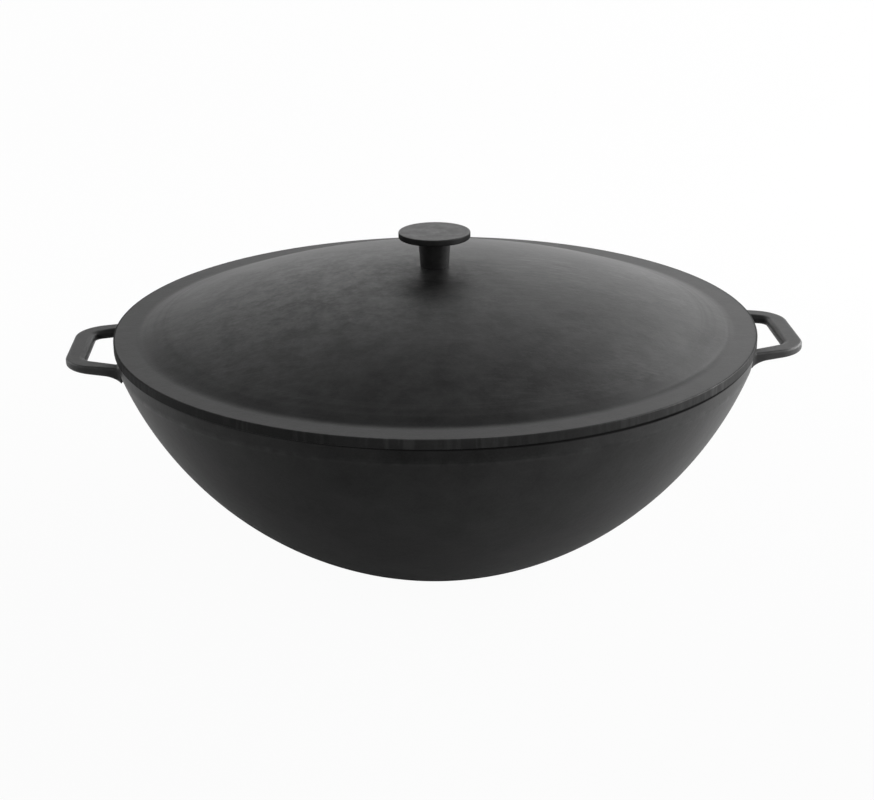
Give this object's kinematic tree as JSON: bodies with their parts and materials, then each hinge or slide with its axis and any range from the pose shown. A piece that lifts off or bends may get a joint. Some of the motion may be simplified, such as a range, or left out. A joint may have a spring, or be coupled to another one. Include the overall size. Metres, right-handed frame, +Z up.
{
  "type": "kazan",
  "caption": "Round-bellied cast-iron cooking pot with two flat ears, a domed cast-iron lid and a knob",
  "frame": {"origin": "middle of the flat foot that the pot stands on", "axes": "+Z up through the knob, X through the two ears, Y across them"},
  "size_m": [0.4574, 0.4, 0.2041],
  "materials": {
    "pot_iron": "sand-cast iron, black and lightly oiled, fine grain",
    "lid_iron": "sand-cast iron, black and lightly oiled, turned flange and edge",
    "knob_iron": "turned iron, blackened, satin",
    "screw_steel": "plain steel screw"
  },
  "bodies": {
    "root": {"pot": "pot_iron", "lid": "lid_iron", "knob": "knob_iron", "knob_screw": "screw_steel"}
  },
  "joints": []
}
